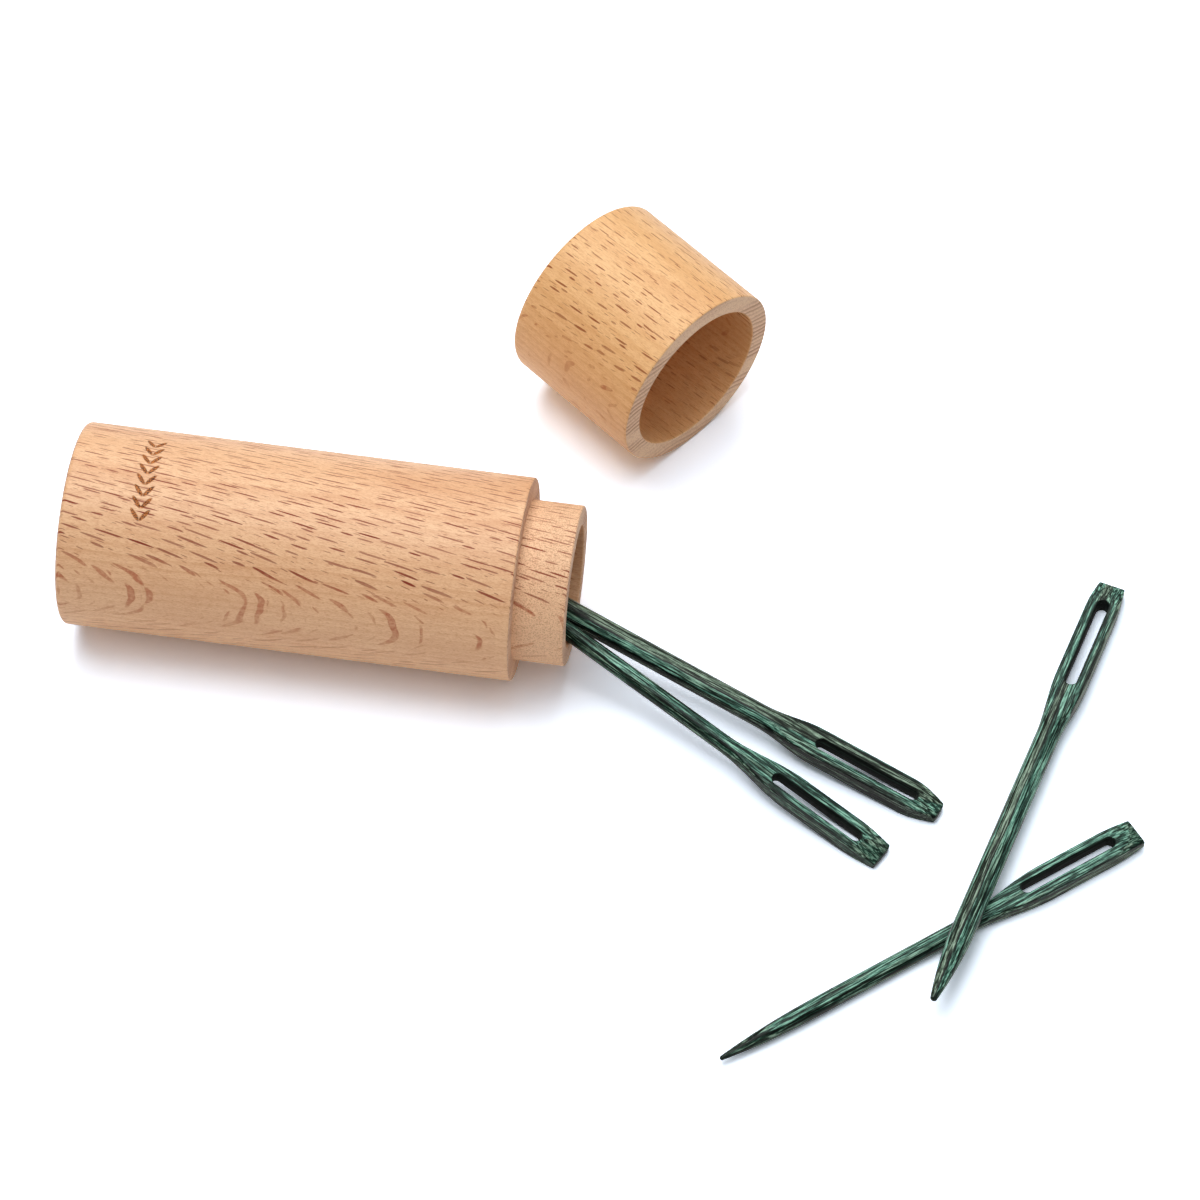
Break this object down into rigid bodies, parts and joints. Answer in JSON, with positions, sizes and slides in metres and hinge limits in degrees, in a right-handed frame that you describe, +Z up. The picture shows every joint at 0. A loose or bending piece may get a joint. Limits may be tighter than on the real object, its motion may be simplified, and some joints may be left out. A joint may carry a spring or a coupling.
{
  "type": "needle case",
  "caption": "Turned wooden needle case lying open, its cap taken off beside it, with large and small wooden darning needles in its mouth and on the ground.",
  "frame": {"origin": "on the ground, in the middle of the rectangle that the laid out set covers", "axes": "+X along the case's axis from its closed end to its mouth, +Y towards the cap, +Z up from the ground"},
  "size_m": [0.1826, 0.151, 0.034],
  "materials": {
    "beech_case": "satin",
    "beech_cap": "satin",
    "green_laminate_large_in_case": "gloss",
    "green_laminate_small_in_case": "gloss",
    "green_laminate_large_loose": "gloss",
    "green_laminate_small_loose": "gloss"
  },
  "bodies": {
    "case_body": {"case_body": "beech_case"},
    "cap": {"cap": "beech_cap"},
    "large_needle_in_case": {"large_needle_in_case": "green_laminate_large_in_case"},
    "small_needle_in_case": {"small_needle_in_case": "green_laminate_small_in_case"},
    "large_needle_loose": {"large_needle_loose": "green_laminate_large_loose"},
    "small_needle_loose": {"small_needle_loose": "green_laminate_small_loose"}
  },
  "joints": [
    {"name": "cap_lift", "type": "slide", "parent": "case_body", "child": "cap", "axis": [0, 0, 1], "range_m": [0, 0.06]},
    {"name": "large_needle_draw", "type": "slide", "parent": "case_body", "child": "large_needle_in_case", "axis": [0.7367, -0.2798, 0.6157], "range_m": [0, 0.04]},
    {"name": "small_needle_draw", "type": "slide", "parent": "case_body", "child": "small_needle_in_case", "axis": [0.6964, -0.3687, 0.6157], "range_m": [0, 0.04]},
    {"name": "small_needle_lift", "type": "slide", "parent": "case_body", "child": "small_needle_loose", "axis": [0, 0, 1], "range_m": [0, 0.06]},
    {"name": "large_needle_lift", "type": "slide", "parent": "small_needle_loose", "child": "large_needle_loose", "axis": [0, 0, 1], "range_m": [0, 0.06]}
  ]
}
